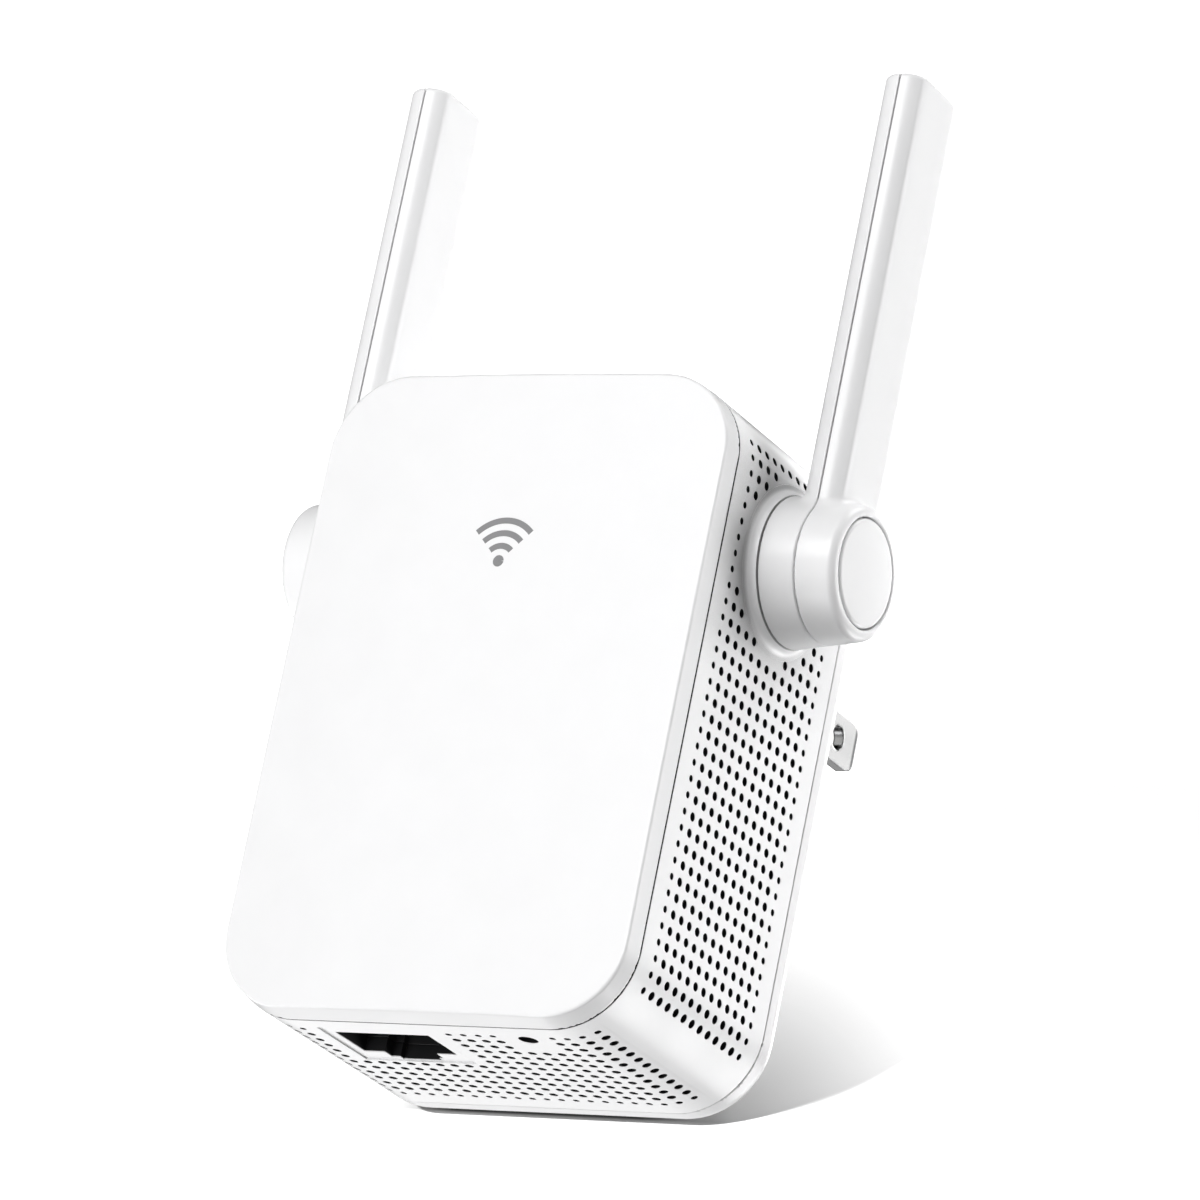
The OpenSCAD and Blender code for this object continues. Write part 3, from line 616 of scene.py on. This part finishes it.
# columns: the camera's right, up and back directions
CAMERA_AXES = Matrix((
    (0.8620428, -0.0062152, 0.5067974),
    (0.4702635, -0.3631361, -0.8043534),
    (0.1890356, 0.9317154, -0.3101160),
))
RIGHT, UP, BACK = (Vector(CAMERA_AXES.col[i]) for i in range(3))

lens = bpy.data.cameras.new("camera")
lens.sensor_width = 36
lens.lens = 237.88692
lens.clip_start, lens.clip_end = 0.05, 20
camera = bpy.data.objects.new("camera", lens)
bpy.context.scene.collection.objects.link(camera)
camera.matrix_world = Matrix.Translation(CAMERA_PLACE) @ CAMERA_AXES.to_4x4()
bpy.context.scene.camera = camera

# ------------------------------------------------------------------ floor, in metres
FLOOR_TILT = math.radians(11)
FLOOR_GAP = 0.0012          # below the lowest point
CONTACT_BAND = 0.0003       # height above the lowest point that counts as touching
FLOOR_SIZE, FLOOR_CELLS = 8, 24

floor_up = UP * math.cos(FLOOR_TILT) + BACK * math.sin(FLOOR_TILT)
# level with the case's lower rear edge
floor_up = (floor_up - RIGHT * (floor_up.x / RIGHT.x)).normalized()
side = floor_up.cross(BACK).normalized()
if side.dot(RIGHT) < 0:
    side = -side
deep = side.cross(floor_up).normalized()
if deep.dot(BACK) > 0:
    deep = -deep


def vertex_array(piece):
    flat = np.empty(len(piece.data.vertices) * 3)
    piece.data.vertices.foreach_get("co", flat)
    return flat.reshape(-1, 3)


points = np.concatenate([vertex_array(o) for o in list(nodes.values()) + list(pieces.values())])
heights = points @ np.array(floor_up)
lowest = float(heights.min())
level = lowest - FLOOR_GAP
touching = points[heights < lowest + CONTACT_BAND]
# the end of the line where the case meets the floor
foot = Vector(touching[np.argmax(touching @ np.array(side))])
foot = foot - floor_up * (foot.dot(floor_up) - level)


def floor_mesh():
    mesh = bpy.data.meshes.new("floor")
    build = bmesh.new()
    ticks = [i / FLOOR_CELLS - 0.5 for i in range(FLOOR_CELLS + 1)]
    grid = [[build.verts.new(floor_up * level + side * u * FLOOR_SIZE + deep * w * FLOOR_SIZE)
             for w in ticks] for u in ticks]
    for i in range(FLOOR_CELLS):
        for j in range(FLOOR_CELLS):
            build.faces.new((grid[i][j], grid[i + 1][j], grid[i + 1][j + 1], grid[i][j + 1]))
    build.normal_update()
    build.to_mesh(mesh)
    build.free()
    return mesh


def floor_paper():
    """White paper with a painted-in shadow, clear from below."""
    result = bpy.data.materials.new("floor_paper")
    graph = Graph(result)
    noise = graph.node("TexNoise", {"Scale": 40}).outputs["Fac"]
    paper = graph.out("BsdfDiffuse", {0: graph.ramp(noise, low=(0.2,) * 3, high=(0.21,) * 3)})
    geometry = graph.node("NewGeometry").outputs
    from_foot = graph.out("VectorMath", {0: geometry["Position"], 1: foot},
                          operation="SUBTRACT")
    along_side = graph.dot(from_foot, side)
    along_deep = graph.dot(from_foot, deep)

    # The paper glows more away from the object, so that its shadow ends in plain white
    reach_side, reach_deep = 0.026, 0.087
    u = graph.math("MULTIPLY", graph.math("MAXIMUM", along_side, 0.0), 1 / reach_side)
    w = graph.math("MULTIPLY", along_deep, 1 / reach_deep)
    squares = graph.math("ADD", graph.math("MULTIPLY", u, u), graph.math("MULTIPLY", w, w))
    glow = graph.map_range(graph.math("SQRT", squares), from_min=0.0, from_max=1.0,
                           to_min=0.11, to_max=0.95, clamp=False)
    under = graph.map_range(along_side, from_min=-0.012, from_max=0.0,
                            to_min=-0.095, to_max=0.0)
    glow = graph.math("MINIMUM", graph.math("ADD", glow, under), 1.0)
    glowing = graph.out("Emission", {"Strength": glow})
    lit = graph.out("AddShader", {0: paper, 1: glowing})

    # The line of contact: next to no light gets in under the rear edge
    across = floor_up.cross(Vector((1, 0, 0))).normalized()
    if across.dot(deep) < 0:
        across = -across
    offset = graph.dot(from_foot, across)
    near_edge = graph.map_range(offset, from_min=0.0014, from_max=0.0026, to_max=0.94)
    far_edge = graph.map_range(offset, from_min=0.009, from_max=0.014, to_min=1.0, to_max=0.0)
    foot_end = graph.map_range(along_side, from_min=-0.008, from_max=0.003,
                               to_min=1.0, to_max=0.0)
    other_end = graph.map_range(along_side, from_min=-0.040, from_max=-0.030)
    contact = graph.math("MULTIPLY", near_edge, foot_end)
    contact = graph.math("MULTIPLY", contact, other_end)
    contact = graph.math("MULTIPLY", contact, far_edge)
    dark = graph.out("BsdfDiffuse", {"Color": (0.02, 0.02, 0.02, 1)})
    top = graph.out("MixShader", {0: contact, 1: lit, 2: dark})
    clear = graph.out("BsdfTransparent")
    shader = graph.out("MixShader", {0: geometry["Backfacing"], 1: top, 2: clear})
    graph.node("OutputMaterial", {0: shader})
    return result


floor = bpy.data.objects.new("floor", floor_mesh())
bpy.context.scene.collection.objects.link(floor)
if floor.data.polygons[0].normal.dot(floor_up) < 0:
    floor.data.flip_normals()
floor.data.materials.append(floor_paper())
floor.visible_diffuse = False
floor.visible_glossy = False
floor.visible_transmission = False
floor.visible_shadow = False

# ------------------------------------------------------------------ lights, in metres and watts
TARGET = Vector((0.0, -0.043, 0.0))
on_paper = bpy.data.collections.new("on_paper")
on_paper.objects.link(floor)
off_paper = bpy.data.collections.new("off_paper")
for item in bpy.data.objects:
    if item.type == "MESH" and item is not floor:
        off_paper.objects.link(item)

# azimuth from the camera's side, elevation, power
SOFTBOXES = (
    (330, 40, 8.8), (90, 0, 7.9), (120, -40, 7.0), (150, 0, 6.2), (300, -40, 6.5),
    (240, -40, 5.8), (120, 40, 5.0), (0, 78, 2.9), (0, -40, 2.1), (300, 40, 2.05),
    (120, 0, 1.9), (330, 0, 1.6), (300, 0, 1.5), (180, -40, 1.2), (210, -40, 0.9),
)


def area_light(name, direction, distance, size, power, receivers):
    """A square lamp facing TARGET that lights only the receivers."""
    lamp = bpy.data.lights.new(name, "AREA")
    lamp.energy = power
    lamp.shape = "RECTANGLE"
    lamp.size = lamp.size_y = size
    light = bpy.data.objects.new(name, lamp)
    bpy.context.scene.collection.objects.link(light)
    place = TARGET + direction.normalized() * distance
    light.location = place
    light.rotation_mode = "QUATERNION"
    light.rotation_quaternion = (place - TARGET).to_track_quat("Z", "Y")
    light.visible_camera = False
    light.light_linking.receiver_collection = receivers


for azimuth, elevation, power in SOFTBOXES:
    a, e = math.radians(azimuth), math.radians(elevation)
    direction = (BACK * (math.cos(a) * math.cos(e)) + RIGHT * (math.sin(a) * math.cos(e))
                 + UP * math.sin(e))
    area_light(f"soft_{azimuth}_{elevation}", direction, distance=1.2, size=0.6,
               power=power, receivers=off_paper)
area_light("paper_key", side * -1.012 + floor_up + deep * -1.52, distance=1.5, size=0.07,
           power=240, receivers=on_paper)

# ------------------------------------------------------------------ world
# White to the camera; its light on the scene is a front-to-back ramp, set to nothing
world = bpy.data.worlds.new("studio")
bpy.context.scene.world = world
graph = Graph(world)
camera_ray = graph.node("LightPath").outputs["Is Camera Ray"]
facing = graph.dot(graph.node("TexCoord").outputs["Generated"], BACK)
strength = graph.map_range(facing, from_min=-1, from_max=1, to_min=0.0, to_max=0.0)
ambient = graph.out("Background", {"Strength": strength})
backdrop = graph.out("Background", {"Color": (1, 1, 1, 1), "Strength": 1.0})
shown = graph.out("MixShader", {0: camera_ray, 1: ambient, 2: backdrop})
graph.node("OutputWorld", {0: shown})

view = bpy.context.scene.view_settings
view.view_transform = "Standard"
view.look = "None"
view.exposure = 0
view.gamma = 1
